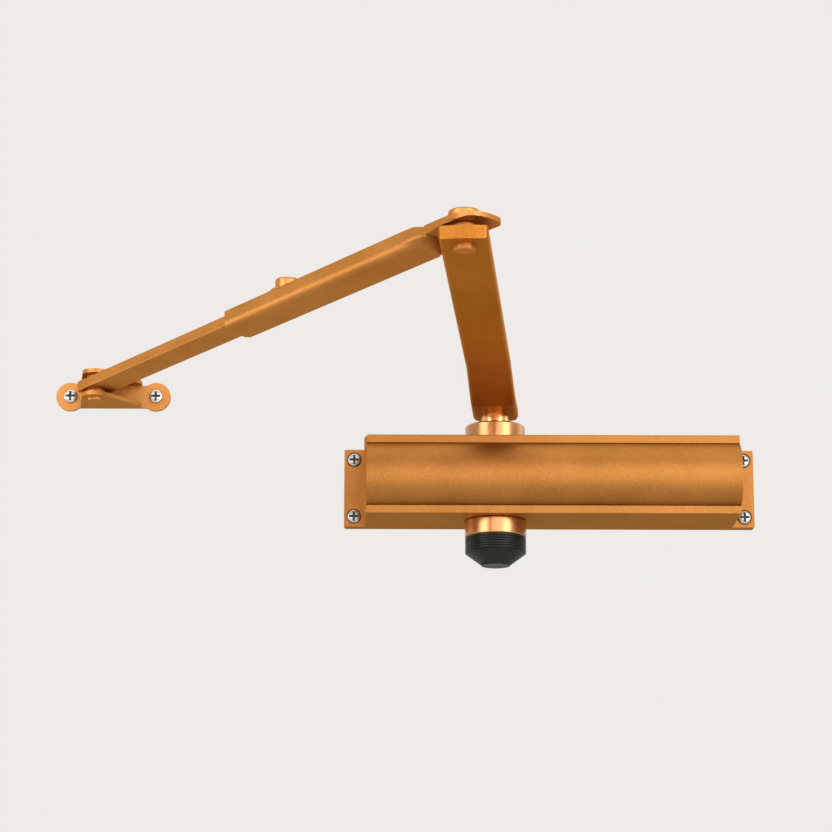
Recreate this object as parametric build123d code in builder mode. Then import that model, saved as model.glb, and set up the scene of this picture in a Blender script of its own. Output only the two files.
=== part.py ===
from build123d import *
import math
import os

os.makedirs("parts", exist_ok=True)

# ---------------------------------------------------------------- dimensions
# Frame: origin at the middle of the mounting face, +X along the body to the
# hinge side, +Y into the door, +Z up. All lengths in millimetres.

# housing
BODY_H = 36.4            # body and flange height
BODY_L = 170.6           # block length between the flanges' inner ends
BODY_D = 34.6            # block depth behind the cover
FLANGE_L = 190.0         # over the flanges
FLANGE_T = 6.0
BORE_R = 13.0            # piston bore
BORE_Y = -18.8           # bore and spindle axis from the mounting face
PLUG_R = 14.0
PLUG_SEAT = 10.3

# mounting screws
SCREW_X = 90.4
SCREW_Z = 13.4
SCREW_HEAD_R = 3.15
SCREW_SHANK_R = 2.0      # core of the thread
SCREW_NECK_R = 2.5       # shank under the head
SCREW_LEN = 16.0
SHOE_SCREW_LEN = 13.0
HEAD_T = 2.0
RECESS = 4.5             # across the arms of the cross recess

# front cover
COVER_X0, COVER_X1 = -84.0, 85.1
RAIL_Y = -37.6
RAIL_H = 4.0
BULGE_Y = -46.9
BULGE_HALF = 14.2
COVER_WALL = 1.8

# spindle
SX, SY = -25.3, -18.8
JOURNAL_R = 6.0
NECK_R = 6.25
MODULE = 1.25
TEETH = 12
PITCH_R = MODULE * TEETH / 2
PINION_H = 16.0
BACKLASH = 0.10

# bearing caps and end cap
TOP_RING_R, TOP_RING_H = 13.8, 8.0
LOW_RING_R, LOW_RING_H = 14.1, 7.6
CAP_R, CAP_CYL, CAP_CONE, CAP_FLAT_R = 13.9, 7.4, 5.7, 6.3

# main arm
ARM_T = 5.2
ARM_Z0 = 31.3            # underside at the spindle
ARM_Z1 = 37.0            # underside of the outer run
ELBOW = (-44.14, -262.65)
ARM_TIP = 9.6            # past the elbow axis
ARM_HUB_W, ARM_MID_W, ARM_END_W = 21.0, 19.5, 18.6
HUB_BACK = 10.4                 # hub behind the spindle axis
CRANK_A, CRANK_B = 19.5, 60.0   # bend lines from the spindle axis

# forearm
SHOE_PIVOT = (-209.95, -18.8)
TUBE_W, TUBE_H, TUBE_WALL = 17.1, 7.6, 1.4
TUBE_Z = 45.2            # centre height of sleeve and rod
TUBE_U1 = 170.2          # sleeve's outer end, along the forearm
ROD_W, ROD_H = 14.16, 4.66
ROD_U0 = 90.0
ROD_END = 7.1            # past the shoe pivot
STRAP_Z0, STRAP_T = 45.2, 1.9
CLAMP_U = 126.0

# shoe
SHOE_T = 2.0
EAR_R = 6.75
EAR_Z = 44.35
EAR_X = (-223.9, -183.85)
LUG_T = 1.8
LUG_Z0, LUG_Z1 = 39.1, 49.7

# ------------------------------------------------------------ derived values
HB = BODY_H / 2
ang_arm = math.atan2(ELBOW[1] - SY, ELBOW[0] - SX)
ARM_LEN = math.hypot(ELBOW[0] - SX, ELBOW[1] - SY)
ang_fore = math.atan2(SHOE_PIVOT[1] - ELBOW[1], SHOE_PIVOT[0] - ELBOW[0])
FORE_LEN = math.hypot(SHOE_PIVOT[0] - ELBOW[0], SHOE_PIVOT[1] - ELBOW[1])


def flat_plane(origin, angle, z):
    """Horizontal work plane whose x runs along `angle` from `origin`."""
    return Plane(origin=(origin[0], origin[1], z),
                 x_dir=(math.cos(angle), math.sin(angle), 0), z_dir=(0, 0, 1))


def side_plane(origin, angle, v=0.0):
    """Upright work plane: x along `angle`, y up, shifted sideways by v to the left."""
    ox = origin[0] - math.sin(angle) * v
    oy = origin[1] + math.cos(angle) * v
    return Plane(origin=(ox, oy, 0), x_dir=(math.cos(angle), math.sin(angle), 0),
                 z_dir=(math.sin(angle), -math.cos(angle), 0))


def axis_x(x, y, z):
    """Work plane facing along +X at a point."""
    return Plane(origin=(x, y, z), x_dir=(0, 1, 0), z_dir=(1, 0, 0))


def axis_y(x, y, z):
    """Work plane facing along +Y at a point (x to -X, y up)."""
    return Plane(origin=(x, y, z), x_dir=(-1, 0, 0), z_dir=(0, 1, 0))


def finish(builder, label):
    builder.part.label = label
    export_step(builder.part, "parts/%s.step" % label)


# ------------------------------------------------------------------- housing
with BuildPart() as housing:
    with BuildSketch(axis_x(-BODY_L / 2, 0, 0)):
        with Locations((-BODY_D / 2, 0)):
            RectangleRounded(BODY_D, BODY_H, 0.6)
    extrude(amount=BODY_L)
    # bevelled upper and lower edges of the end faces
    with BuildSketch(axis_y(0, -BODY_D - 1, 0)):
        for sx in (-1, 1):
            for sz in (-1, 1):
                with BuildLine():
                    Polyline((sx * (BODY_L / 2 - 1.1), sz * (HB + 0.1)), (sx * (BODY_L / 2 + 0.1), sz * (HB - 1.1)),
                             (sx * (BODY_L / 2 + 0.1), sz * (HB + 0.1)), close=True)
                make_face()
    extrude(amount=BODY_D + 2, mode=Mode.SUBTRACT)
    # low rib that the cover snaps over
    with BuildSketch(axis_x(-BODY_L / 2 + 8, 0, 0)):
        with BuildLine():
            Polyline((-BODY_D + 0.5, -10.0), (-BODY_D - 1.6, -10.8), (-BODY_D - 1.6, 10.8),
                     (-BODY_D + 0.5, 10.0), close=True)
        make_face()
    extrude(amount=BODY_L - 16)
    # screw flanges
    with BuildSketch(axis_y(0, -FLANGE_T, 0)):
        RectangleRounded(FLANGE_L, BODY_H, 0.8)
    extrude(amount=FLANGE_T)
    # piston bore and plug seats
    with BuildSketch(axis_x(-BODY_L / 2, BORE_Y, 0)):
        Circle(BORE_R)
    extrude(amount=BODY_L, mode=Mode.SUBTRACT)
    for x0 in (-BODY_L / 2, BODY_L / 2 - PLUG_SEAT):
        with BuildSketch(axis_x(x0, BORE_Y, 0)):
            Circle(PLUG_R)
        extrude(amount=PLUG_SEAT, mode=Mode.SUBTRACT)
    # spindle ports through the top and bottom walls
    with BuildSketch(Plane.XY.offset(-HB - 1)):
        with Locations((SX, SY)):
            Circle(10.02)
    extrude(amount=BODY_H + 2, mode=Mode.SUBTRACT)
    # screw holes with shallow recesses for the heads
    with BuildSketch(axis_y(0, -FLANGE_T, 0)):
        with GridLocations(2 * SCREW_X, 2 * SCREW_Z, 2, 2):
            Circle(2.6)
    extrude(amount=FLANGE_T, mode=Mode.SUBTRACT)
    with BuildSketch(axis_y(0, -FLANGE_T, 0)):
        with GridLocations(2 * SCREW_X, 2 * SCREW_Z, 2, 2):
            Circle(3.5)
    extrude(amount=1.1, mode=Mode.SUBTRACT)
    # speed valve pockets in the end face, and their oil ways to the bore
    for z in (12.6, -12.6):
        with BuildSketch(axis_x(-BODY_L / 2, -30.9, z)):
            Circle(2.1)
        extrude(amount=20.0, mode=Mode.SUBTRACT)
        with BuildSketch(Plane(origin=(-68.0, BORE_Y, 0), x_dir=(1, 0, 0),
                               z_dir=(0, -12.1, z))):
            Circle(0.8)
        extrude(amount=17.4, mode=Mode.SUBTRACT)
finish(housing, "housing")

# --------------------------------------------------------------- front cover
sag = RAIL_Y - BULGE_Y
bulge_r = (BULGE_HALF ** 2 + sag ** 2) / (2 * sag)
bulge_cy = BULGE_Y + bulge_r
with BuildPart() as front_cover:
    with BuildSketch(axis_x(COVER_X0, 0, 0)):
        with BuildLine():
            Polyline((-BODY_D, -HB), (-BODY_D, HB), (RAIL_Y, HB),
                     (RAIL_Y, BULGE_HALF + 0.35), (RAIL_Y + 0.5, BULGE_HALF), (RAIL_Y, BULGE_HALF - 0.1))
            ThreePointArc((RAIL_Y, BULGE_HALF - 0.1), (BULGE_Y, 0), (RAIL_Y, -BULGE_HALF + 0.1))
            Polyline((RAIL_Y, -BULGE_HALF + 0.1), (RAIL_Y + 0.5, -BULGE_HALF), (RAIL_Y, -BULGE_HALF - 0.35),
                     (RAIL_Y, -HB), (-BODY_D, -HB))
        make_face()
    extrude(amount=COVER_X1 - COVER_X0)
    fillet(front_cover.edges().filter_by(Axis.X).filter_by(
        lambda e: abs(abs(e.center().Z) - HB) < 0.01 and abs(e.center().Y - RAIL_Y) < 0.01), 0.5)
    # hollow behind the bulge, open towards the housing, ends left closed
    with BuildSketch(axis_x(COVER_X0 + 2.0, 0, 0)):
        with BuildLine():
            hy = RAIL_Y + 0.0
            hz = math.sqrt((bulge_r - COVER_WALL) ** 2 - (hy - bulge_cy) ** 2)
            ThreePointArc((hy, hz), (BULGE_Y + COVER_WALL, 0), (hy, -hz))
            Polyline((hy, -hz), (-BODY_D - 1.7, -11.0), (-BODY_D, -10.25), (-BODY_D, 10.25),
                     (-BODY_D - 1.7, 11.0), (hy, hz))
        make_face()
    extrude(amount=COVER_X1 - COVER_X0 - 4.0, mode=Mode.SUBTRACT)
finish(front_cover, "front_cover")

# ----------------------------------------------------------- mounting screws
def screw_profile(y, length):
    """Half outline of a pan-head screw whose head seat lies at y, as (radius, distance along +Y)."""
    r, s = SCREW_HEAD_R, SCREW_SHANK_R
    return [(0, -HEAD_T), (r * 0.45, -HEAD_T), (r - 0.75, -HEAD_T + 0.25), (r - 0.4, -HEAD_T + 0.45),
            (r - 0.17, -HEAD_T + 0.72), (r, -HEAD_T + 1.15), (r, 0),
            # full shank under the head inside the hole, thread's core from the mounting face on
            (SCREW_NECK_R, 0), (SCREW_NECK_R, -0.5 - y), (s, 0.05 - y), (s, length - 2.4), (0.3, length), (0, length)]


with BuildPart() as mounting_screws:
    for x, y, z in ((i * SCREW_X, -FLANGE_T + 1.1, k * SCREW_Z) for i in (-1, 1) for k in (-1, 1)):
        with BuildSketch(Plane(origin=(x, y, z), x_dir=(1, 0, 0), z_dir=(0, 0, 1))):
            with BuildLine():
                Polyline(*screw_profile(y, SCREW_LEN), close=True)
            make_face()
        revolve(axis=Axis((x, y, z), (0, 1, 0)))
        # cross recess, narrower at the bottom
        with BuildSketch(axis_y(x, y - HEAD_T, z)):
            Rectangle(RECESS, 1.1)
            Rectangle(1.1, RECESS)
        extrude(amount=0.75, mode=Mode.SUBTRACT)
        with BuildSketch(axis_y(x, y - HEAD_T, z)):
            Rectangle(RECESS - 1.4, 0.9)
            Rectangle(0.9, RECESS - 1.4)
            Circle(0.95)
        extrude(amount=1.6, mode=Mode.SUBTRACT)
finish(mounting_screws, "mounting_screws")

# ------------------------------------------------------------- end plugs
for name, sgn in (("end_plug_left", -1), ("end_plug_right", 1)):
    face_x = sgn * BODY_L / 2
    with BuildPart() as plug:
        with BuildSketch(Plane(origin=(face_x, BORE_Y, 0), x_dir=(0, 1, 0), z_dir=(-sgn, 0, 0))):
            Circle(PLUG_R - 0.02)
        extrude(amount=PLUG_SEAT)
        with BuildSketch(Plane(origin=(face_x - sgn * PLUG_SEAT, BORE_Y, 0), x_dir=(0, 1, 0), z_dir=(-sgn, 0, 0))):
            Circle(BORE_R - 0.05)
        extrude(amount=5.0)
        # groove for the sealing ring
        with BuildSketch(Plane(origin=(face_x - sgn * (PLUG_SEAT + 1.4), BORE_Y, 0), x_dir=(0, 1, 0), z_dir=(-sgn, 0, 0))):
            Circle(BORE_R + 0.1)
            Circle(11.1, mode=Mode.SUBTRACT)
        extrude(amount=2.2, mode=Mode.SUBTRACT)
        # hexagon socket
        with BuildSketch(Plane(origin=(face_x, BORE_Y, 0), x_dir=(0, 1, 0), z_dir=(-sgn, 0, 0))):
            RegularPolygon(6.9, 6)
        extrude(amount=6.0, mode=Mode.SUBTRACT)
        chamfer(plug.edges().filter_by(GeomType.CIRCLE).group_by(Axis.X)[0 if sgn < 0 else -1], 0.6)
    finish(plug, name)

with BuildPart() as plug_o_rings:
    for sgn in (-1, 1):
        cx = sgn * (BODY_L / 2 - PLUG_SEAT - 2.5)
        with BuildSketch(Plane(origin=(cx, BORE_Y, 0), x_dir=(1, 0, 0), z_dir=(0, 0, 1))):
            with Locations((0, 12.04)):
                Circle(0.88)
        revolve(axis=Axis((cx, BORE_Y, 0), (1, 0, 0)))
finish(plug_o_rings, "plug_o_rings")

# ----------------------------------------------------------- bearing caps
with BuildPart() as top_bearing_cap:
    with BuildSketch(Plane(origin=(SX, SY, 0), x_dir=(1, 0, 0), z_dir=(0, -1, 0))):
        with BuildLine():
            Polyline((9.05, 13.4), (10.0, 13.4), (10.0, HB), (TOP_RING_R, HB),
                     (TOP_RING_R, HB + TOP_RING_H - 0.7), (TOP_RING_R - 0.7, HB + TOP_RING_H),
                     (6.6, HB + TOP_RING_H), (6.6, 24.9), (9.05, 24.9), close=True)
        make_face()
    revolve(axis=Axis((SX, SY, 0), (0, 0, 1)))
finish(top_bearing_cap, "top_bearing_cap")

with BuildPart() as bottom_bearing_cap:
    zb = -HB - LOW_RING_H
    with BuildSketch(Plane(origin=(SX, SY, 0), x_dir=(1, 0, 0), z_dir=(0, -1, 0))):
        with BuildLine():
            Polyline((9.05, -13.4), (10.0, -13.4), (10.0, -HB), (LOW_RING_R - 0.5, -HB), (LOW_RING_R, -HB - 0.5),
                     (LOW_RING_R, zb + 0.4), (LOW_RING_R - 0.4, zb), (11.0, zb), (11.0, zb + 1.3),
                     (6.3, zb + 1.3), (6.3, zb + 2.5), (9.05, zb + 2.5), close=True)
        make_face()
    revolve(axis=Axis((SX, SY, 0), (0, 0, 1)))
finish(bottom_bearing_cap, "bottom_bearing_cap")

# bearings: drawn shell with a cage of needles
for name, z0, z1 in (("upper_bearing", 13.6, 21.6), ("lower_bearing", -21.6, -13.6)):
    with BuildPart() as shell:
        with BuildSketch(Plane(origin=(SX, SY, 0), x_dir=(1, 0, 0), z_dir=(0, -1, 0))):
            with BuildLine():
                Polyline((JOURNAL_R + 0.25, z0), (9.0, z0), (9.0, z1), (JOURNAL_R + 0.25, z1),
                         (JOURNAL_R + 0.25, z1 - 0.8), (8.1, z1 - 0.8), (8.1, z0 + 0.8),
                         (JOURNAL_R + 0.25, z0 + 0.8), close=True)
            make_face()
        revolve(axis=Axis((SX, SY, 0), (0, 0, 1)))
    finish(shell, name)
for name, z0, z1 in (("upper_needles", 14.6, 20.6), ("lower_needles", -20.6, -14.6)):
    with BuildPart() as needles:
        with BuildSketch(Plane.XY.offset(z0)):
            with Locations((SX, SY)):
                with PolarLocations(JOURNAL_R + 0.06 + 0.97, 18):
                    Circle(0.97)
        extrude(amount=z1 - z0)
    finish(needles, name)

# shaft seals
for name, z0, z1 in (("upper_shaft_seal", 21.7, 24.8), ("lower_shaft_seal", -23.2, -21.7)):
    with BuildPart() as seal:
        with BuildSketch(Plane(origin=(SX, SY, 0), x_dir=(1, 0, 0), z_dir=(0, -1, 0))):
            with Locations(((9.0 + JOURNAL_R + 0.08) / 2, (z0 + z1) / 2)):
                Rectangle(9.0 - JOURNAL_R - 0.08, z1 - z0)
        revolve(axis=Axis((SX, SY, 0), (0, 0, 1)))
    finish(seal, name)

# --------------------------------------------------------- spindle end cap
with BuildPart() as spindle_end_cap:
    zt = -HB - LOW_RING_H
    zc = zt - CAP_CYL
    zf = zc - CAP_CONE
    pts = [(11.0, zt + 1.25), (11.0, zt), (CAP_R - 0.25, zt)]
    # ribs on the cylinder
    n = 6
    pitch = (CAP_CYL - 0.6) / n
    for i in range(n):
        a = zt - 0.3 - pitch * i
        pts += [(CAP_R, a - 0.10), (CAP_R, a - pitch * 0.55), (CAP_R - 0.28, a - pitch * 0.78)]
    pts.append((CAP_R, zc + 0.1))
    # ribs on the cone
    m = 5
    for i in range(m):
        t0, t1, t2 = (i + 0.15) / m, (i + 0.6) / m, (i + 0.82) / m
        for t, d in ((t0, 0.0), (t1, 0.0), (t2, 0.26)):
            r = CAP_R + (CAP_FLAT_R - CAP_R) * t
            z = zc + (zf - zc) * t
            nrm = math.hypot(CAP_CONE, CAP_R - CAP_FLAT_R)
            pts.append((r - d * CAP_CONE / nrm, z + d * (CAP_R - CAP_FLAT_R) / nrm))
    pts += [(CAP_FLAT_R + 0.2, zf), (0.0, zf), (0.0, zf + 2.0), (7.5, zf + 3.6), (7.5, zt + 1.25)]
    with BuildSketch(Plane(origin=(SX, SY, 0), x_dir=(1, 0, 0), z_dir=(0, -1, 0))):
        with BuildLine():
            Polyline(*pts, close=True)
        make_face()
    revolve(axis=Axis((SX, SY, 0), (0, 0, 1)))
finish(spindle_end_cap, "spindle_end_cap")

# --------------------------------------------------------- pinion spindle
# involute tooth: flank points from the root to the tip
base_r = PITCH_R * math.cos(math.radians(20))
tip_r = PITCH_R + MODULE
root_r = PITCH_R - 1.22 * MODULE


def inv(a):
    return math.tan(a) - a


half_pitch = (math.pi * MODULE / 2 - BACKLASH) / PITCH_R / 2
inv_p = inv(math.radians(20))


def flank_angle(r):
    a = math.acos(min(1.0, base_r / r))
    return half_pitch + inv_p - inv(a)


flank = [(root_r, flank_angle(base_r) + 0.02), (base_r, flank_angle(base_r))]
for i in range(1, 7):
    r = base_r + (tip_r - base_r) * i / 6
    flank.append((r, flank_angle(r)))
tooth_pts = []
for k in range(TEETH):
    c = math.pi / 2 + k * 2 * math.pi / TEETH
    for r, a in flank:
        tooth_pts.append((SX + r * math.cos(c - a), SY + r * math.sin(c - a)))
    for r, a in reversed(flank):
        tooth_pts.append((SX + r * math.cos(c + a), SY + r * math.sin(c + a)))

with BuildPart() as pinion_spindle:
    with BuildSketch(Plane.XY.offset(-PINION_H / 2)):
        with BuildLine():
            Polyline(*tooth_pts, close=True)
        make_face()
    extrude(amount=PINION_H)
    # journals, neck, square ends
    with BuildSketch(Plane.XY.offset(-25.0)):
        with Locations((SX, SY)):
            Circle(JOURNAL_R)
    extrude(amount=50.0)
    with BuildSketch(Plane.XY.offset(25.0)):
        with Locations((SX, SY)):
            Circle(NECK_R)
    extrude(amount=ARM_Z0 - 25.0)
    with BuildSketch(Plane.XY.offset(-31.5)):
        with Locations((SX, SY)):
            Rectangle(8.0, 8.0)
            Circle(5.2, mode=Mode.INTERSECT)
    extrude(amount=6.5)
    with BuildSketch(flat_plane((SX, SY), ang_arm, ARM_Z0)):
        Rectangle(9.0, 9.0)
        Circle(6.0, mode=Mode.INTERSECT)
    extrude(amount=ARM_T - 0.2)
    # threaded hole for the arm screw
    with BuildSketch(Plane.XY.offset(ARM_Z0 + ARM_T - 0.2)):
        with Locations((SX, SY)):
            Circle(3.0)
    extrude(amount=-16.0, mode=Mode.SUBTRACT)
finish(pinion_spindle, "pinion_spindle")

# -------------------------------------------------------------- main arm
ARM_R_LOW, ARM_R_TOP = 1.9, 0.8


def arm_section(s_along):
    """Work plane across the arm: x to the arm's left, y up."""
    return Plane(origin=(SX + math.cos(ang_arm) * s_along, SY + math.sin(ang_arm) * s_along, 0),
                 x_dir=(-math.sin(ang_arm), math.cos(ang_arm), 0),
                 z_dir=(math.cos(ang_arm), math.sin(ang_arm), 0))


with BuildPart() as main_arm:
    # three straight runs between matching cross-sections
    runs = ((-HUB_BACK, ARM_HUB_W, ARM_Z0), (CRANK_A, ARM_HUB_W - 0.7, ARM_Z0), (CRANK_B, ARM_MID_W, ARM_Z1),
            (ARM_LEN + ARM_TIP, ARM_END_W, ARM_Z1))
    for r0, r1 in zip(runs, runs[1:]):
        for d, w, z in (r0, r1):
            with BuildSketch(arm_section(d)):
                with BuildLine():
                    h, rl, rt = w / 2, ARM_R_LOW, ARM_R_TOP
                    k = 1 - math.sqrt(0.5)
                    zt = z + ARM_T
                    Line((-h + rl, z), (h - rl, z))
                    ThreePointArc((h - rl, z), (h - rl * k, z + rl * k), (h, z + rl))
                    Line((h, z + rl), (h, zt - rt))
                    ThreePointArc((h, zt - rt), (h - rt * k, zt - rt * k), (h - rt, zt))
                    Line((h - rt, zt), (-h + rt, zt))
                    ThreePointArc((-h + rt, zt), (-h + rt * k, zt - rt * k), (-h, zt - rt))
                    Line((-h, zt - rt), (-h, z + rl))
                    ThreePointArc((-h, z + rl), (-h + rl * k, z + rl * k), (-h + rl, z))
                make_face()
        loft(ruled=True)
    # slightly convex tip with small rounded corners
    with BuildSketch(flat_plane((SX, SY), ang_arm, ARM_Z0 - 5)):
        with BuildLine():
            e, t = ARM_END_W / 2 - 0.03, ARM_LEN + ARM_TIP
            Polyline((t - 3.4, -20), (t - 3.4, -e - 0.6), (t - 2.9, -e))
            ThreePointArc((t - 2.9, -e), (t - 1.35, -e + 0.55), (t - 0.8, -e + 2.0))
            ThreePointArc((t - 0.8, -e + 2.0), (t - 0.04, 0), (t - 0.8, e - 2.0))
            ThreePointArc((t - 0.8, e - 2.0), (t - 1.35, e - 0.55), (t - 2.9, e))
            Polyline((t - 2.9, e), (t - 3.4, e + 0.6), (t - 3.4, 20), (t + 5, 20), (t + 5, -20), (t - 3.4, -20))
        make_face()
    extrude(amount=30.0, mode=Mode.SUBTRACT)
    # well rounded corners at the hub
    with BuildSketch(flat_plane((SX, SY), ang_arm, ARM_Z0 - 5)):
        with BuildLine():
            hb, hh, hc = HUB_BACK - 0.2, ARM_HUB_W / 2 + 0.5, 6.8
            q = hc * (1 - math.sqrt(0.5))
            ThreePointArc((-hb + hc, -hh), (-hb + q, -hh + q), (-hb, -hh + hc))
            Line((-hb, -hh + hc), (-hb, hh - hc))
            ThreePointArc((-hb, hh - hc), (-hb + q, hh - q), (-hb + hc, hh))
            Polyline((-hb + hc, hh), (-hb + hc, 20), (-20, 20), (-20, -20), (-hb + hc, -20), (-hb + hc, -hh))
        make_face()
    extrude(amount=30.0, mode=Mode.SUBTRACT)
    # square hole for the spindle and round hole for the rivet
    with BuildSketch(flat_plane((SX, SY), ang_arm, ARM_Z0 - 1)):
        Rectangle(9.0, 9.0)
        Circle(6.0, mode=Mode.INTERSECT)
    extrude(amount=ARM_T + 2, mode=Mode.SUBTRACT)
    with BuildSketch(Plane.XY.offset(ARM_Z1 - 1)):
        with Locations(ELBOW):
            Circle(3.02)
    extrude(amount=ARM_T + 2, mode=Mode.SUBTRACT)
finish(main_arm, "main_arm")

# arm screw and washer on top of the spindle
with BuildPart() as arm_washer:
    with BuildSketch(Plane.XY.offset(ARM_Z0 + ARM_T)):
        with Locations((SX, SY)):
            Circle(7.0)
            Circle(3.2, mode=Mode.SUBTRACT)
    extrude(amount=1.2)
finish(arm_washer, "arm_washer")

with BuildPart() as arm_screw:
    with BuildSketch(Plane.XY.offset(ARM_Z0 + ARM_T + 1.2)):
        with Locations((SX, SY)):
            Circle(5.0)
    extrude(amount=4.0)
    fillet(arm_screw.edges().group_by(Axis.Z)[-1], 0.8)
    with BuildSketch(Plane.XY.offset(ARM_Z0 + ARM_T + 1.2 + 4.0)):
        with Locations((SX, SY)):
            RegularPolygon(2.88, 6)
    extrude(amount=-2.6, mode=Mode.SUBTRACT)
    with BuildSketch(Plane.XY.offset(ARM_Z0 + ARM_T + 1.2)):
        with Locations((SX, SY)):
            Circle(2.95)
    extrude(amount=-14.0)
finish(arm_screw, "arm_screw")

# ------------------------------------------------------------ elbow joint
WASHER_Z0 = ARM_Z1 + ARM_T
with BuildPart() as elbow_rivet:
    with BuildSketch(Plane(origin=(ELBOW[0], ELBOW[1], 0), x_dir=(1, 0, 0), z_dir=(0, -1, 0))):
        with BuildLine():
            top0 = STRAP_Z0 + STRAP_T + 0.05
            Polyline((0, ARM_Z1 - 2.1), (3.7, ARM_Z1 - 2.1), (4.25, ARM_Z1 - 1.6), (4.25, ARM_Z1),
                     (3.0, ARM_Z1), (3.0, top0), (6.0, top0), (6.2, top0 + 0.2), (6.2, top0 + 1.0),
                     (6.05, top0 + 1.15), (6.05, top0 + 2.65), (5.9, top0 + 3.05), (5.5, top0 + 3.35),
                     (4.6, top0 + 3.5), (0, top0 + 3.65), close=True)
        make_face()
    revolve(axis=Axis((ELBOW[0], ELBOW[1], 0), (0, 0, 1)))
finish(elbow_rivet, "elbow_rivet")

with BuildPart() as elbow_washer:
    with BuildSketch(Plane.XY.offset(WASHER_Z0)):
        with Locations(ELBOW):
            Circle(5.3)
            Circle(3.05, mode=Mode.SUBTRACT)
    extrude(amount=STRAP_Z0 - WASHER_Z0 - 0.05)
    fillet(elbow_washer.edges().filter_by(GeomType.CIRCLE).filter_by(lambda e: e.radius > 4), 0.6)
finish(elbow_washer, "elbow_washer")

# --------------------------------------------------------- forearm sleeve
# local frame: u runs from the elbow to the shoe, v to its left, which is the
# front side of the forearm
def UV(z):
    return flat_plane(ELBOW, ang_fore, z)


def at_uv(u, v):
    """Where a point of the forearm's local frame lies in plan."""
    return (ELBOW[0] + math.cos(ang_fore) * u - math.sin(ang_fore) * v,
            ELBOW[1] + math.sin(ang_fore) * u + math.cos(ang_fore) * v)


def section_at(u):
    """Work plane across the forearm: x is v, y is the height."""
    o = at_uv(u, 0)
    return Plane(origin=(o[0], o[1], 0), x_dir=(-math.sin(ang_fore), math.cos(ang_fore), 0),
                 z_dir=(math.cos(ang_fore), math.sin(ang_fore), 0))


HW = TUBE_W / 2
tz0, tz1 = TUBE_Z - TUBE_H / 2, TUBE_Z + TUBE_H / 2
strap_z1 = STRAP_Z0 + STRAP_T
NECK_U = 28.0
SEAM = ((19.0, 7.9), (26.3, -8.4))       # slanted end of the floor
FLAP_RUN = 4.2                           # the underside rises to the eye over this length


def neck_points(top, front, low, v_front, v_back, r_low):
    """Closed outline across the neck, the same number of corners at each station."""
    c = 0.8
    pts = [(v_back + c, top), (v_front - c, top), (v_front, top - c), (v_front, front)]
    for k in range(1, 5):
        t = math.pi / 2 * k / 4
        pts.append((v_front - r_low * (1 - math.cos(t)), front - (front - low) * math.sin(t)))
    pts += [(v_back + 1.0, low), (v_back + 0.3, low + 0.3), (v_back, low + 1.0), (v_back, top - c)]
    return pts


# space under the eye, up to the rising underside behind the seam
seam_dir = (SEAM[1][0] - SEAM[0][0], SEAM[1][1] - SEAM[0][1])
seam_normal = ang_fore + math.atan2(-seam_dir[0], seam_dir[1])
with BuildPart() as neck_space:
    with BuildSketch(side_plane(at_uv(*SEAM[0]), seam_normal)):
        with BuildLine():
            Polyline((0, tz0 - 4), (0, tz0 + 0.45), (FLAP_RUN, STRAP_Z0), (60, STRAP_Z0), (60, tz0 - 4), close=True)
        make_face()
    extrude(amount=60, both=True)
    with BuildSketch(UV(tz0 - 5)):
        with BuildLine():
            Polyline((-40, -40), (40, -40), (40, HW - 1.5), (24, HW - 1.5), (18.5, HW - 1.5), (13, HW - 1.2),
                     (-40, HW - 1.2), close=True)
        make_face()
    extrude(amount=20, mode=Mode.INTERSECT)

# lip that stiffens the front edge of the eye
with BuildPart() as eye_lip:
    with BuildSketch(UV(tz0)):
        with BuildLine():
            Polyline((13.2, HW - 0.02), (5.0, HW - 0.05), (0.0, HW - 0.2), (-6.0, HW - 0.9), (-9.8, 5.9),
                     (-9.3, 5.2), (-5.7, HW - 1.75), (0.0, HW - 1.1), (5.0, HW - 1.05), (13.2, HW - 1.2), close=True)
        make_face()
    extrude(amount=STRAP_Z0 + 0.2 - tz0)
    with BuildSketch(side_plane(ELBOW, ang_fore)):
        with BuildLine():
            Polyline((14.0, STRAP_Z0 + 1), (14.0, tz0 + 1.9), (9.0, STRAP_Z0 - 1.3), (4.0, STRAP_Z0 - 0.85),
                     (-2.0, STRAP_Z0 - 0.75), (-6.5, STRAP_Z0 - 0.35), (-9.5, STRAP_Z0 - 0.01), (-11.0, STRAP_Z0 + 1),
                     close=True)
        make_face()
    extrude(amount=20, both=True, mode=Mode.INTERSECT)

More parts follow.
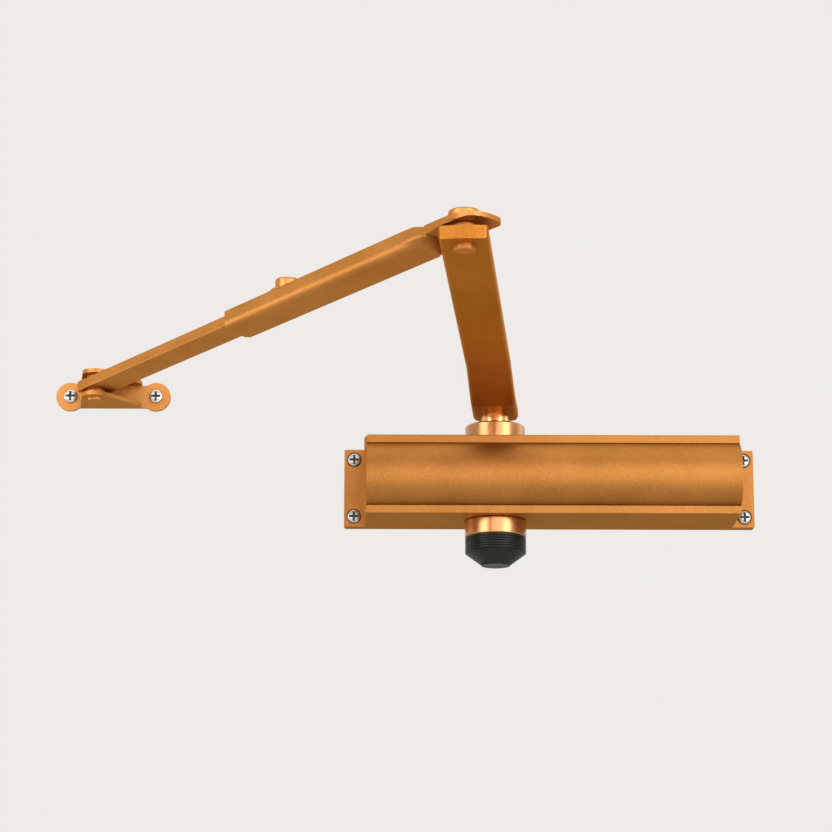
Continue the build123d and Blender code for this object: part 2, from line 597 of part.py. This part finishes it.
with BuildPart() as forearm_sleeve:
    # folded tube, its lower front edge well rounded
    with BuildSketch(section_at(NECK_U)):
        with BuildLine():
            r1, r2, r3 = 3.0, 1.0, 0.35
            Polyline((-HW + r2, tz1), (HW - r2, tz1))
            ThreePointArc((HW - r2, tz1), (HW - r2 + r2 * 0.7071, tz1 - r2 + r2 * 0.7071), (HW, tz1 - r2))
            Polyline((HW, tz1 - r2), (HW, tz0 + r1))
            ThreePointArc((HW, tz0 + r1), (HW - r1 + r1 * 0.7071, tz0 + r1 - r1 * 0.7071), (HW - r1, tz0))
            Polyline((HW - r1, tz0), (-HW + r3, tz0))
            ThreePointArc((-HW + r3, tz0), (-HW + r3 - r3 * 0.7071, tz0 + r3 - r3 * 0.7071), (-HW, tz0 + r3))
            Polyline((-HW, tz0 + r3), (-HW, tz1 - r2))
            ThreePointArc((-HW, tz1 - r2), (-HW + r2 - r2 * 0.7071, tz1 - r2 + r2 * 0.7071), (-HW + r2, tz1))
        make_face()
    extrude(amount=TUBE_U1 - NECK_U)
    # neck: the tube is pressed down towards the flat eye
    stations = (
        (NECK_U, tz1, tz0 + 3.0, tz0, HW, -HW, 3.0),
        (25.5, tz1, tz0 + 3.1, tz0 + 0.1, HW, -HW, 4.0),
        (23.0, tz1 - 0.1, tz0 + 3.2, tz0 + 0.3, HW, -HW, 6.0),
        (21.0, tz1 - 0.4, tz0 + 3.2, tz0 + 0.5, HW, -HW, 7.5),
        (18.5, tz1 - 1.1, tz0 + 3.0, tz0 + 0.6, HW, -HW - 0.1, 8.0),
        (16.0, strap_z1 + 0.1, tz0 + 2.6, tz0 + 0.6, HW, -HW - 0.5, 8.0),
        (13.0, strap_z1, tz0 + 2.1, tz0 + 0.6, HW - 0.02, -HW - 1.2, 8.0),
    )
    for st0, st1 in zip(stations, stations[1:]):
        for st in (st0, st1):
            with BuildSketch(section_at(st[0])):
                with BuildLine():
                    Polyline(*neck_points(*st[1:]), close=True)
                make_face()
        loft(ruled=True)
    add(neck_space.part, mode=Mode.SUBTRACT)
    # flat eye
    with BuildSketch(UV(STRAP_Z0)):
        with BuildLine():
            Polyline((14.0, HW), (13.0, HW - 0.02), (5.0, HW - 0.05), (0.0, HW - 0.2))
            ThreePointArc((0.0, HW - 0.2), (-6.0, HW - 0.9), (-9.8, 5.9))
            ThreePointArc((-9.8, 5.9), (-11.5, 3.8), (-12.1, 1.0))
            ThreePointArc((-12.1, 1.0), (-11.8, -3.6), (-10.6, -7.6))
            ThreePointArc((-10.6, -7.6), (-8.9, -10.3), (-5.0, -11.6))
            Polyline((-5.0, -11.6), (5.0, -11.1), (13.0, -HW - 1.2), (14.0, -HW - 1.0), (14.0, HW))
        make_face()
    extrude(amount=STRAP_T)
    add(eye_lip.part)
    # passage for the rod
    with BuildSketch(section_at(NECK_U)):
        with Locations((0, TUBE_Z)):
            Rectangle(TUBE_W - 2 * TUBE_WALL, TUBE_H - 2 * TUBE_WALL)
    extrude(amount=TUBE_U1, mode=Mode.SUBTRACT)
    # outer end cut back in a curve towards the front
    with BuildSketch(UV(tz0 - 1)):
        with BuildLine():
            ThreePointArc((162.2, HW + 0.3), (167.3, 1.9), (169.9, -5.0))
            ThreePointArc((169.9, -5.0), (169.8, -7.4), (168.2, -HW - 0.3))
            Polyline((168.2, -HW - 0.3), (168.2, -HW - 2), (175, -HW - 2), (175, HW + 2), (162.2, HW + 2),
                     (162.2, HW + 0.3))
        make_face()
    extrude(amount=TUBE_H + 2, mode=Mode.SUBTRACT)
    # holes for the elbow rivet and the clamp boss
    with BuildSketch(UV(STRAP_Z0 - 1)):
        Circle(3.05)
    extrude(amount=STRAP_T + 2, mode=Mode.SUBTRACT)
    with BuildSketch(UV(tz1 - TUBE_WALL - 0.3)):
        with Locations((CLAMP_U, 0)):
            Circle(4.4)
    extrude(amount=TUBE_WALL + 1, mode=Mode.SUBTRACT)
finish(forearm_sleeve, "forearm_sleeve")

# threaded boss and clamp screw
with BuildPart() as clamp_boss:
    with BuildSketch(UV(tz1 - TUBE_WALL)):
        with Locations((CLAMP_U, 0)):
            Circle(4.4)
            Circle(2.55, mode=Mode.SUBTRACT)
    extrude(amount=TUBE_WALL)
    with BuildSketch(UV(tz1)):
        with Locations((CLAMP_U, 0)):
            Circle(7.2)
            Circle(2.55, mode=Mode.SUBTRACT)
    extrude(amount=1.3)
    chamfer(clamp_boss.edges().filter_by(GeomType.CIRCLE).filter_by(lambda e: e.radius > 6).group_by(Axis.Z)[-1], 0.5)
finish(clamp_boss, "clamp_boss")

CX = ELBOW[0] + math.cos(ang_fore) * CLAMP_U
CY = ELBOW[1] + math.sin(ang_fore) * CLAMP_U
with BuildPart() as clamp_screw:
    zh = tz1 + 1.3 + 0.05
    with BuildSketch(Plane.XY.offset(zh)):
        with Locations((CX, CY)):
            Circle(4.95)
    extrude(amount=4.7)
    fillet(clamp_screw.edges().group_by(Axis.Z)[-1], 1.0)
    with BuildSketch(Plane.XY.offset(zh + 4.7)):
        with Locations((CX, CY)):
            RegularPolygon(2.3, 6)
    extrude(amount=-2.4, mode=Mode.SUBTRACT)
    with BuildSketch(Plane.XY.offset(zh)):
        with Locations((CX, CY)):
            Circle(2.5)
    extrude(amount=-(zh - (TUBE_Z + ROD_H / 2) - 0.03))
finish(clamp_screw, "clamp_screw")

# ---------------------------------------------------------------- rod
with BuildPart() as forearm_rod:
    with BuildSketch(UV(TUBE_Z - ROD_H / 2)):
        with Locations(((ROD_U0 + FORE_LEN + ROD_END) / 2, 0)):
            RectangleRounded(FORE_LEN + ROD_END - ROD_U0, ROD_W, 2.4)
    extrude(amount=ROD_H)
    fillet(forearm_rod.faces().sort_by(Axis.Z)[-1].outer_wire().edges(), 0.5)
    fillet(forearm_rod.faces().sort_by(Axis.Z)[0].outer_wire().edges(), 0.3)
    with BuildSketch(UV(TUBE_Z - ROD_H)):
        with Locations((FORE_LEN, 0)):
            Circle(2.55)
    extrude(amount=2 * ROD_H, mode=Mode.SUBTRACT)
finish(forearm_rod, "forearm_rod")

# --------------------------------------------------------------- shoe
PX, PY = SHOE_PIVOT
with BuildPart() as shoe_bracket:
    # base plate: two ears and a middle web
    with BuildSketch(Plane(origin=(0, -SHOE_T, 0), x_dir=(1, 0, 0), z_dir=(0, -1, 0))):
        with Locations((EAR_X[0], EAR_Z), (EAR_X[1], EAR_Z)):
            Circle(EAR_R)
        with Locations(((EAR_X[0] + EAR_X[1]) / 2, EAR_Z)):
            Rectangle(EAR_X[1] - EAR_X[0], 10.6)
        with Locations(((-219.3 - 190.6) / 2, (LUG_Z0 + LUG_Z1 + LUG_T) / 2)):
            Rectangle(-190.6 + 219.3, LUG_Z1 + LUG_T - LUG_Z0)
    extrude(amount=-SHOE_T)
    # lugs folded forward
    for z in (LUG_Z0, LUG_Z1):
        with BuildSketch(Plane.XY.offset(z)):
            with BuildLine():
                Polyline((-190.6, -5.8), (-190.6, -0.8), (-219.3, -0.8), (-218.9, -4.0), (-216.1, -21.8))
                ThreePointArc((-216.1, -21.8), (-214.3, -25.8), (-210.6, -27.5))
                ThreePointArc((-210.6, -27.5), (-207.2, -26.9), (-204.8, -24.7))
                Polyline((-204.8, -24.7), (-191.6, -7.2), (-190.6, -5.8))
            make_face()
        extrude(amount=LUG_T)
    # rivet hole, screw holes
    with BuildSketch(Plane.XY.offset(LUG_Z0 - 1)):
        with Locations(SHOE_PIVOT):
            Circle(2.52)
    extrude(amount=LUG_Z1 - LUG_Z0 + LUG_T + 2, mode=Mode.SUBTRACT)
    with BuildSketch(Plane(origin=(0, 0, 0), x_dir=(1, 0, 0), z_dir=(0, -1, 0))):
        with Locations((EAR_X[0], EAR_Z), (EAR_X[1], EAR_Z)):
            Circle(2.6)
    extrude(amount=SHOE_T, mode=Mode.SUBTRACT)
finish(shoe_bracket, "shoe_bracket")

with BuildPart() as shoe_rivet:
    with BuildSketch(Plane(origin=(PX, PY, 0), x_dir=(1, 0, 0), z_dir=(0, -1, 0))):
        with BuildLine():
            lo, hi = LUG_Z0, LUG_Z1 + LUG_T
            Polyline((0, lo - 1.3), (2.2, lo - 1.2), (3.2, lo - 0.8), (3.6, lo), (2.5, lo), (2.5, hi), (3.8, hi),
                     (3.4, hi + 0.8), (2.2, hi + 1.2), (0, hi + 1.3), close=True)
        make_face()
    revolve(axis=Axis((PX, PY, 0), (0, 0, 1)))
finish(shoe_rivet, "shoe_rivet")

rod_lo, rod_hi = TUBE_Z - ROD_H / 2, TUBE_Z + ROD_H / 2
with BuildPart() as shoe_washers:
    with BuildSketch(Plane.XY.offset(LUG_Z0 + LUG_T)):
        with Locations(SHOE_PIVOT):
            Circle(4.4)
            Circle(2.52, mode=Mode.SUBTRACT)
    extrude(amount=rod_lo - LUG_Z0 - LUG_T - 0.04)
    with BuildSketch(Plane.XY.offset(rod_hi + 0.04)):
        with Locations(SHOE_PIVOT):
            Circle(4.4)
            Circle(2.52, mode=Mode.SUBTRACT)
    extrude(amount=LUG_Z1 - rod_hi - 0.04)
finish(shoe_washers, "shoe_washers")

with BuildPart() as shoe_screws:
    for x, y, z in ((ex, -SHOE_T, EAR_Z) for ex in EAR_X):
        with BuildSketch(Plane(origin=(x, y, z), x_dir=(1, 0, 0), z_dir=(0, 0, 1))):
            with BuildLine():
                Polyline(*screw_profile(y, SHOE_SCREW_LEN), close=True)
            make_face()
        revolve(axis=Axis((x, y, z), (0, 1, 0)))
        # cross recess, narrower at the bottom
        with BuildSketch(axis_y(x, y - HEAD_T, z)):
            Rectangle(RECESS, 1.1)
            Rectangle(1.1, RECESS)
        extrude(amount=0.75, mode=Mode.SUBTRACT)
        with BuildSketch(axis_y(x, y - HEAD_T, z)):
            Rectangle(RECESS - 1.4, 0.9)
            Rectangle(0.9, RECESS - 1.4)
            Circle(0.95)
        extrude(amount=1.6, mode=Mode.SUBTRACT)
finish(shoe_screws, "shoe_screws")

# --------------------------------------------------------------- piston
PIST_R = BORE_R - 0.07
RACK_TIP = PITCH_R - 0.68 * MODULE      # rack tip plane from the spindle axis
RACK_ROOT = PITCH_R + 1.25 * MODULE
SLOT0, SLOT1 = SX - 31.6, SX + 11.2
P0, P1 = SLOT0 - 11.0, SLOT1 + 11.0
tp = math.tan(math.radians(20))
with BuildPart() as piston:
    with BuildSketch(axis_x(P0, BORE_Y, 0)):
        Circle(PIST_R)
    extrude(amount=P1 - P0)
    chamfer(piston.edges().filter_by(GeomType.CIRCLE), 0.6)
    # slot for the pinion
    with BuildSketch(Plane.XY.offset(-20)):
        with Locations(((SLOT0 + SLOT1) / 2, SY + (RACK_TIP - 9.4) / 2)):
            Rectangle(SLOT1 - SLOT0, RACK_TIP + 9.4)
    extrude(amount=40, mode=Mode.SUBTRACT)
    # rack: tooth spaces cut behind the tip plane
    with BuildSketch(Plane.XY.offset(-20)):
        pr = math.pi * MODULE
        for k in range(-7, 3):
            xc = SX + k * pr
            if xc - 1.9 < SLOT0 or xc + 1.9 > SLOT1:
                continue
            w_pitch = pr / 2 + BACKLASH / 2
            wt = w_pitch / 2 + (PITCH_R - RACK_TIP) * tp
            wr = w_pitch / 2 - (RACK_ROOT - PITCH_R) * tp
            with BuildLine():
                Polyline((xc - wt, SY + RACK_TIP - 0.01), (xc + wt, SY + RACK_TIP - 0.01),
                         (xc + wr, SY + RACK_ROOT), (xc - wr, SY + RACK_ROOT), close=True)
            make_face()
    extrude(amount=40, mode=Mode.SUBTRACT)
    # spring pocket and check valve seat in the right head
    with BuildSketch(axis_x(P1, BORE_Y, 0)):
        Circle(9.0)
    extrude(amount=-2.0, mode=Mode.SUBTRACT)
    with BuildSketch(axis_x(P1 - 2.0, BORE_Y, 0)):
        Circle(2.1)
    extrude(amount=-6.0, mode=Mode.SUBTRACT)
    with BuildSketch(axis_x(P1 - 8.0, BORE_Y, 0)):
        Circle(1.2)
    extrude(amount=-6.0, mode=Mode.SUBTRACT)
finish(piston, "piston")

with BuildPart() as check_valve_ball:
    with Locations((P1 - 8.0 + 2.05, BORE_Y, 0)):
        Sphere(2.0)
finish(check_valve_ball, "check_valve_ball")

with BuildPart() as check_valve_retainer:
    with BuildSketch(axis_x(P1 - 2.0, BORE_Y, 0)):
        Circle(2.08)
        Circle(1.2, mode=Mode.SUBTRACT)
    extrude(amount=-1.2)
    with BuildSketch(axis_x(P1 - 2.0, BORE_Y, 0)):
        Circle(4.5)
        Circle(1.2, mode=Mode.SUBTRACT)
    extrude(amount=0.5)
finish(check_valve_retainer, "check_valve_retainer")

# springs between the piston head and the right plug
S0 = P1 + 1.6
S1 = BODY_L / 2 - PLUG_SEAT - 5.0
with BuildPart() as spring_seat:
    with BuildSketch(axis_x(P1, BORE_Y, 0)):
        Circle(12.4)
        Circle(5.0, mode=Mode.SUBTRACT)
    extrude(amount=1.5)
    with BuildSketch(axis_x(P1 + 1.5, BORE_Y, 0)):
        Circle(8.2)
        Circle(7.8, mode=Mode.SUBTRACT)
    extrude(amount=1.6)
finish(spring_seat, "spring_seat")

for name, wire, mean_r, coils in (("outer_spring", 3.2, 10.5, 10.0), ("inner_spring", 2.0, 5.7, 14.0)):
    a0 = S0 + wire / 2 + 0.1
    a1 = S1 - wire / 2 - 0.1
    with BuildPart() as spring:
        with BuildLine() as path:
            Helix(pitch=(a1 - a0) / coils, height=a1 - a0, radius=mean_r, center=(a0, BORE_Y, 0), direction=(1, 0, 0))
        start = path.line @ 0
        tang = path.line % 0
        with BuildSketch(Plane(origin=start, z_dir=tang)):
            Circle(wire / 2)
        sweep(path=path.line, is_frenet=True)
    finish(spring, name)

# -------------------------------------------------------- speed valves
for name, z in (("closing_speed_valve", 12.6), ("latch_speed_valve", -12.6)):
    with BuildPart() as valve:
        x0 = -BODY_L / 2 + 0.6
        with BuildSketch(Plane(origin=(x0, -30.9, z), x_dir=(0, 0, 1), z_dir=(0, 1, 0))):
            with BuildLine():
                Polyline((0, 0), (2.02, 0), (2.02, 9.0), (1.3, 9.0), (1.3, 10.6), (2.02, 10.6), (2.02, 12.5),
                         (1.2, 13.0), (0.9, 17.5), (0, 18.2), close=True)
            make_face()
        revolve(axis=Axis((x0, -30.9, z), (1, 0, 0)))
        with BuildSketch(axis_x(x0, -30.9, z)):
            Rectangle(3.2, 0.8)
        extrude(amount=0.9, mode=Mode.SUBTRACT)
    finish(valve, name)
for name, z in (("closing_valve_o_ring", 12.6), ("latch_valve_o_ring", -12.6)):
    with BuildPart() as ring:
        cx = -BODY_L / 2 + 0.6 + 9.8
        with BuildSketch(Plane(origin=(cx, -30.9, z), x_dir=(1, 0, 0), z_dir=(0, 0, 1))):
            with Locations((0, 1.69)):
                Circle(0.36)
        revolve(axis=Axis((cx, -30.9, z), (1, 0, 0)))
    finish(ring, name)
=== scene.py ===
import math

import bpy
from mathutils import Matrix, Vector

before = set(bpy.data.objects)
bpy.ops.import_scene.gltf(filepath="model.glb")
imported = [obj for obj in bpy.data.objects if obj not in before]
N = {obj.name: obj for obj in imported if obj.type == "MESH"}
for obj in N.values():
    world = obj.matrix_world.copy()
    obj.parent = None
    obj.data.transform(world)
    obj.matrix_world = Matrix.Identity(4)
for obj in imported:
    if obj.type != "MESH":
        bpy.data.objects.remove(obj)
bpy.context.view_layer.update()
scene = bpy.context.scene


# ------------------------------------------------------------------ materials
def srgb(r, g, b):
    def lin(c):
        c /= 255.0
        return c / 12.92 if c <= 0.04045 else ((c + 0.055) / 1.055) ** 2.4
    return (lin(r), lin(g), lin(b), 1.0)


class Mat:
    """A node material with short helpers."""

    def __init__(self, name):
        self.m = bpy.data.materials.new(name)
        self.m.use_nodes = True
        self.t = self.m.node_tree
        self.bsdf = self.t.nodes["Principled BSDF"]
        self.x = -300

    def node(self, kind, **props):
        n = self.t.nodes.new(kind)
        self.x -= 40
        n.location = (self.x, 0)
        for k, v in props.items():
            setattr(n, k, v)
        return n

    def link(self, a, b):
        self.t.links.new(a, b)

    def coords(self):
        return self.node("ShaderNodeTexCoord").outputs["Object"]

    def noise(self, scale, detail=3.0, rough=0.5, vec=None, dist=0.0):
        n = self.node("ShaderNodeTexNoise")
        n.inputs["Scale"].default_value = scale
        n.inputs["Detail"].default_value = detail
        n.inputs["Roughness"].default_value = rough
        n.inputs["Distortion"].default_value = dist
        self.link(vec or self.coords(), n.inputs["Vector"])
        return n.outputs["Fac"]

    def voronoi(self, scale, vec=None, feature="F1", out="Distance"):
        n = self.node("ShaderNodeTexVoronoi", feature=feature)
        n.inputs["Scale"].default_value = scale
        self.link(vec or self.coords(), n.inputs["Vector"])
        return n.outputs[out]

    def ramp(self, fac, *stops):
        n = self.node("ShaderNodeValToRGB")
        cr = n.color_ramp
        while len(cr.elements) < len(stops):
            cr.elements.new(0.5)
        for e, (p, c) in zip(cr.elements, stops):
            e.position = p
            e.color = c if len(c) == 4 else (*c, 1.0)
        self.link(fac, n.inputs["Fac"])
        return n.outputs["Color"]

    def span(self, fac, a, b, lo=0.0, hi=1.0):
        n = self.node("ShaderNodeMapRange")
        n.inputs["From Min"].default_value = a
        n.inputs["From Max"].default_value = b
        n.inputs["To Min"].default_value = lo
        n.inputs["To Max"].default_value = hi
        self.link(fac, n.inputs["Value"])
        return n.outputs["Result"]

    def mix(self, fac, a, b, blend="MIX"):
        n = self.node("ShaderNodeMix", data_type="RGBA", blend_type=blend)
        if isinstance(fac, float):
            n.inputs["Factor"].default_value = fac
        else:
            self.link(fac, n.inputs["Factor"])
        for sock, v in ((n.inputs["A"], a), (n.inputs["B"], b)):
            pass
        ins = [s for s in n.inputs if s.type == "RGBA"]
        for sock, v in zip(ins, (a, b)):
            if isinstance(v, tuple):
                sock.default_value = v
            else:
                self.link(v, sock)
        return [s for s in n.outputs if s.type == "RGBA"][0]

    def math(self, op, a, b=None):
        n = self.node("ShaderNodeMath", operation=op)
        for sock, v in zip(n.inputs, (a, b)):
            if v is None:
                continue
            if isinstance(v, (int, float)):
                sock.default_value = v
            else:
                self.link(v, sock)
        return n.outputs[0]

    def bump(self, height, strength, distance, normal=None):
        n = self.node("ShaderNodeBump")
        n.inputs["Strength"].default_value = strength
        n.inputs["Distance"].default_value = distance
        self.link(height, n.inputs["Height"])
        if normal is not None:
            self.link(normal, n.inputs["Normal"])
        return n.outputs["Normal"]

    def set(self, **values):
        names = {"color": "Base Color", "rough": "Roughness", "metal": "Metallic", "normal": "Normal",
                 "coat": "Coat Weight", "coat_rough": "Coat Roughness", "spec": "Specular IOR Level",
                 "edge": "Specular Tint"}
        for k, v in values.items():
            sock = self.bsdf.inputs[names[k]]
            if isinstance(v, (int, float)) or isinstance(v, tuple):
                sock.default_value = v
            else:
                self.link(v, sock)
        return self


def metallic_paint(name, base, dark, light, rough=0.50, coat=0.06, grain=1.0):
    """Fine metallic paint: sandy flake grain, slow colour drift, slight orange peel."""
    m = Mat(name)
    co = m.coords()
    drift = m.noise(38.0, 4.0, 0.55, co)
    fine = m.noise(2600.0, 2.0, 0.6, co)
    flake = m.voronoi(3400.0, co, out="Color")
    sep = m.node("ShaderNodeSeparateColor")
    m.link(flake, sep.inputs["Color"])
    flake_v = sep.outputs["Red"]
    c = m.mix(m.span(drift, 0.35, 0.65), dark, base)
    c = m.mix(m.span(fine, 0.42, 0.75, 0.0, 0.24 * grain), c, light)
    c = m.mix(m.span(flake_v, 0.86, 1.0, 0.0, 0.26 * grain), c, light)
    c = m.mix(m.span(flake_v, 0.0, 0.2, 0.40 * grain, 0.0), c, dark)
    r = m.math("ADD", m.span(fine, 0.3, 0.7, -0.05, 0.05), m.span(drift, 0.3, 0.7, rough - 0.02, rough + 0.03))
    n1 = m.bump(m.noise(620.0, 3.0, 0.5, co), 0.18, 0.00008)
    n2 = m.bump(fine, 0.22 * grain, 0.00006, n1)
    m.set(color=c, rough=r, metal=1.0, normal=n2, coat=coat, coat_rough=0.32, edge=(1.0, 0.70, 0.38, 1.0))
    return m.m


def plated(name, base, tint, rough, coat=0.0, edge=(1.0, 1.0, 1.0, 1.0), recess=()):
    """Smooth plating with faint turning marks and handling wear; painted shade darkens the recesses."""
    m = Mat(name)
    co = m.coords()
    lines = m.noise(5200.0, 2.0, 0.6, co)
    cloud = m.noise(160.0, 3.0, 0.5, co)
    c = m.mix(m.span(cloud, 0.3, 0.7), base, tint)
    c = m.mix(m.span(lines, 0.35, 0.75, 0.0, 0.18), c, tuple(0.8 * v for v in base[:3]) + (1.0,))
    r = m.math("ADD", m.span(lines, 0.3, 0.7, -0.02, 0.03), m.span(cloud, 0.3, 0.7, rough - 0.02, rough + 0.03))
    if recess:
        # (middle x, half spacing x, middle z, half spacing z, head face y): painted shade, dark inside the cross
        xc, xs, zc, zs, yf = recess
        sep = m.node("ShaderNodeSeparateXYZ")
        m.link(co, sep.inputs[0])
        dx = m.math("SUBTRACT", m.math("ABSOLUTE", m.math("SUBTRACT", sep.outputs["X"], xc)), xs)
        dz = m.math("SUBTRACT", m.math("ABSOLUTE", m.math("SUBTRACT", sep.outputs["Z"], zc)), zs)
        rr = m.math("SQRT", m.math("ADD", m.math("MULTIPLY", dx, dx), m.math("MULTIPLY", dz, dz)))
        deep = m.span(sep.outputs["Y"], yf + 0.00005, yf + 0.0004)
        # painted shade: near-black inside the cross recess, where shade falls
        recess_painted_shade = m.math("MULTIPLY", m.span(rr, 0.0024, 0.0023), deep)
        c = m.mix(recess_painted_shade, c, (0.10, 0.095, 0.09, 1.0))
        r = m.math("ADD", r, m.math("MULTIPLY", recess_painted_shade, 0.3))
    m.set(color=c, rough=r, metal=1.0, normal=m.bump(lines, 0.05, 0.00001), coat=coat, coat_rough=0.2, edge=edge)
    return m.m


def dielectric(name, base, tint, rough, scale=900.0, bump=0.2, spec=0.3):
    m = Mat(name)
    co = m.coords()
    fine = m.noise(scale, 3.0, 0.55, co)
    cloud = m.noise(60.0, 3.0, 0.5, co)
    c = m.mix(m.span(cloud, 0.3, 0.7), base, tint)
    r = m.math("ADD", m.span(fine, 0.3, 0.7, -0.06, 0.06), m.span(cloud, 0.3, 0.7, rough - 0.03, rough + 0.04))
    m.set(color=c, rough=r, metal=0.0, spec=spec, normal=m.bump(fine, bump, 0.00008))
    return m.m


COPPER = (0.330, 0.131, 0.027, 1.0)
COPPER_DARK = (0.280, 0.106, 0.017, 1.0)
COPPER_LIGHT = (0.660, 0.345, 0.135, 1.0)
GOLD = (0.48, 0.200, 0.046, 1.0)
GOLD_TINT = (0.52, 0.225, 0.058, 1.0)

paint_body = metallic_paint("copper_paint_body", COPPER, COPPER_DARK, COPPER_LIGHT)
# darker, redder copy of the copper paint for the main arm: painted shade of its shaded underside
paint_arm_painted_shade = metallic_paint("copper_paint_arm", (0.375, 0.128, 0.013, 1.0), (0.320, 0.102, 0.008, 1.0),
                           (0.680, 0.330, 0.100, 1.0), grain=1.3)
# lighter copy of the copper paint for the forearm and the shoe, as they appear in the photograph: painted light
paint_fore_painted_light = metallic_paint("copper_paint_forearm", (0.455, 0.188, 0.044, 1.0), (0.385, 0.150, 0.028, 1.0),
                            (0.780, 0.430, 0.185, 1.0), grain=1.15)
gold = plated("gold_plating", (0.46, 0.190, 0.058, 1.0), (0.50, 0.212, 0.070, 1.0), 0.27, coat=0.6)
gold_small = plated("gold_fittings", (0.50, 0.205, 0.058, 1.0), (0.54, 0.230, 0.070, 1.0), 0.40, edge=(1.0, 0.66, 0.34, 1.0))
neck_metal = plated("polished_spindle", (0.80, 0.42, 0.15, 1.0), (0.86, 0.48, 0.19, 1.0), 0.24)
screw_zinc = plated("zinc_mounting_screws", (0.40, 0.40, 0.39, 1.0), (0.48, 0.47, 0.46, 1.0), 0.34,
                    recess=(0.0, 0.0904, 0.0, 0.0134, -0.0069))
shoe_zinc = plated("zinc_shoe_screws", (0.52, 0.52, 0.51, 1.0), (0.60, 0.60, 0.58, 1.0), 0.32,
                   recess=(-0.203875, 0.020025, 0.04435, 0.0, -0.0040))
zinc = plated("bright_zinc", (0.50, 0.50, 0.50, 1.0), (0.60, 0.60, 0.59, 1.0), 0.30)
steel = plated("ground_steel", (0.52, 0.50, 0.47, 1.0), (0.62, 0.60, 0.57, 1.0), 0.28)
spring_steel = plated("drawn_wire", (0.26, 0.26, 0.27, 1.0), (0.34, 0.34, 0.35, 1.0), 0.35)
iron = plated("machined_iron", (0.20, 0.20, 0.21, 1.0), (0.28, 0.28, 0.29, 1.0), 0.42)
brass = plated("turned_brass", (0.62, 0.42, 0.14, 1.0), (0.70, 0.50, 0.20, 1.0), 0.28)
plastic = dielectric("black_plastic", (0.004, 0.004, 0.0035, 1.0), (0.010, 0.010, 0.008, 1.0), 0.36, spec=0.17)
rubber = dielectric("black_rubber", (0.016, 0.016, 0.016, 1.0), (0.024, 0.024, 0.024, 1.0), 0.68)

LOOK = {
    paint_body: ("housing", "front_cover"),
    paint_arm_painted_shade: ("main_arm",),
    paint_fore_painted_light: ("forearm_sleeve", "forearm_rod", "shoe_bracket"),
    gold: ("top_bearing_cap", "bottom_bearing_cap"),
    gold_small: ("elbow_rivet", "elbow_washer", "clamp_boss", "clamp_screw", "shoe_rivet", "shoe_washers",
                 "end_plug_left", "end_plug_right"),
    neck_metal: ("pinion_spindle",),
    screw_zinc: ("mounting_screws",),
    shoe_zinc: ("shoe_screws",),
    zinc: ("arm_screw", "arm_washer"),
    steel: ("check_valve_ball", "spring_seat", "upper_bearing", "lower_bearing", "upper_needles", "lower_needles"),
    spring_steel: ("outer_spring", "inner_spring"),
    iron: ("piston",),
    brass: ("check_valve_retainer", "closing_speed_valve", "latch_speed_valve"),
    plastic: ("spindle_end_cap",),
    rubber: ("plug_o_rings", "upper_shaft_seal", "lower_shaft_seal", "closing_valve_o_ring", "latch_valve_o_ring"),
}
for mat, names in LOOK.items():
    for name in names:
        o = N[name]
        if not o.material_slots:
            o.data.materials.append(mat)
        for s in o.material_slots:
            s.material = mat

# ---------------------------------------------------------------- stage
floor_mat = Mat("pale_floor")
fco = floor_mat.coords()
floor_mat.set(color=floor_mat.mix(floor_mat.span(floor_mat.noise(3.0, 3.0, 0.5, fco), 0.3, 0.7),
                                  srgb(196, 194, 191), srgb(203, 201, 198)), rough=0.75)
bpy.ops.mesh.primitive_plane_add(size=30.0, location=(0, 0, -0.9))
floor = bpy.context.object
floor.name = "floor"
floor.data.materials.append(floor_mat.m)

world = bpy.data.worlds.new("studio")
scene.world = world
world.use_nodes = True
bg = world.node_tree.nodes["Background"]
bg.inputs["Color"].default_value = srgb(238, 235, 232)
bg.inputs["Strength"].default_value = 1.0


def softbox(name, size, power, direction, distance, target=(-0.06, -0.08, 0.0), color=(1, 1, 1)):
    """Area light on a bearing seen from the target: azimuth from the front to the right, elevation."""
    az, el = (math.radians(a) for a in direction)
    d = Vector((math.sin(az) * math.cos(el), -math.cos(az) * math.cos(el), math.sin(el)))
    data = bpy.data.lights.new(name, "AREA")
    data.shape = "RECTANGLE"
    data.size, data.size_y = size
    data.energy = power
    data.color = color
    o = bpy.data.objects.new(name, data)
    scene.collection.objects.link(o)
    t = Vector(target)
    o.location = t + d * distance
    o.rotation_mode = "QUATERNION"
    o.rotation_quaternion = (-d).to_track_quat("-Z", "Y")
    return o


softbox("key", (2.2, 1.7), 23.0, (22, 1), 1.45)
softbox("left_strip", (1.0, 1.6), 22.0, (-46, 8), 1.9)
softbox("right_strip", (0.9, 1.6), 13.0, (43, 8), 1.9)
softbox("left_fill", (1.2, 1.1), 13.0, (-112, -8), 2.2)
softbox("right_fill", (1.2, 1.2), 3.5, (115, 6), 2.2)
softbox("top", (2.4, 2.4), 20.0, (0, 82), 2.4)

# ---------------------------------------------------------------- camera
F_PX = 2601.4
pos = Vector((-0.0625, -1.1866, -0.2532))
yaw, pitch, roll = 0.0006, 0.239, 0.0027
fwd = Vector((math.sin(yaw) * math.cos(pitch), math.cos(yaw) * math.cos(pitch), math.sin(pitch)))
right = Vector((math.cos(yaw), -math.sin(yaw), 0.0))
up = right.cross(fwd)
cr, sr = math.cos(roll), math.sin(roll)
r_axis = cr * right + sr * up
u_axis = -sr * right + cr * up
cam_data = bpy.data.cameras.new("camera")
cam_data.sensor_width = 36.0
cam_data.lens = F_PX / 832.0 * 36.0
cam_data.clip_start, cam_data.clip_end = 0.01, 100.0
cam = bpy.data.objects.new("camera", cam_data)
scene.collection.objects.link(cam)
rot = Matrix((r_axis, u_axis, -fwd)).transposed()
cam.matrix_world = Matrix.Translation(pos) @ rot.to_4x4()
scene.camera = cam

scene.view_settings.view_transform = "Standard"
scene.view_settings.look = "None"

bpy.context.view_layer.update()
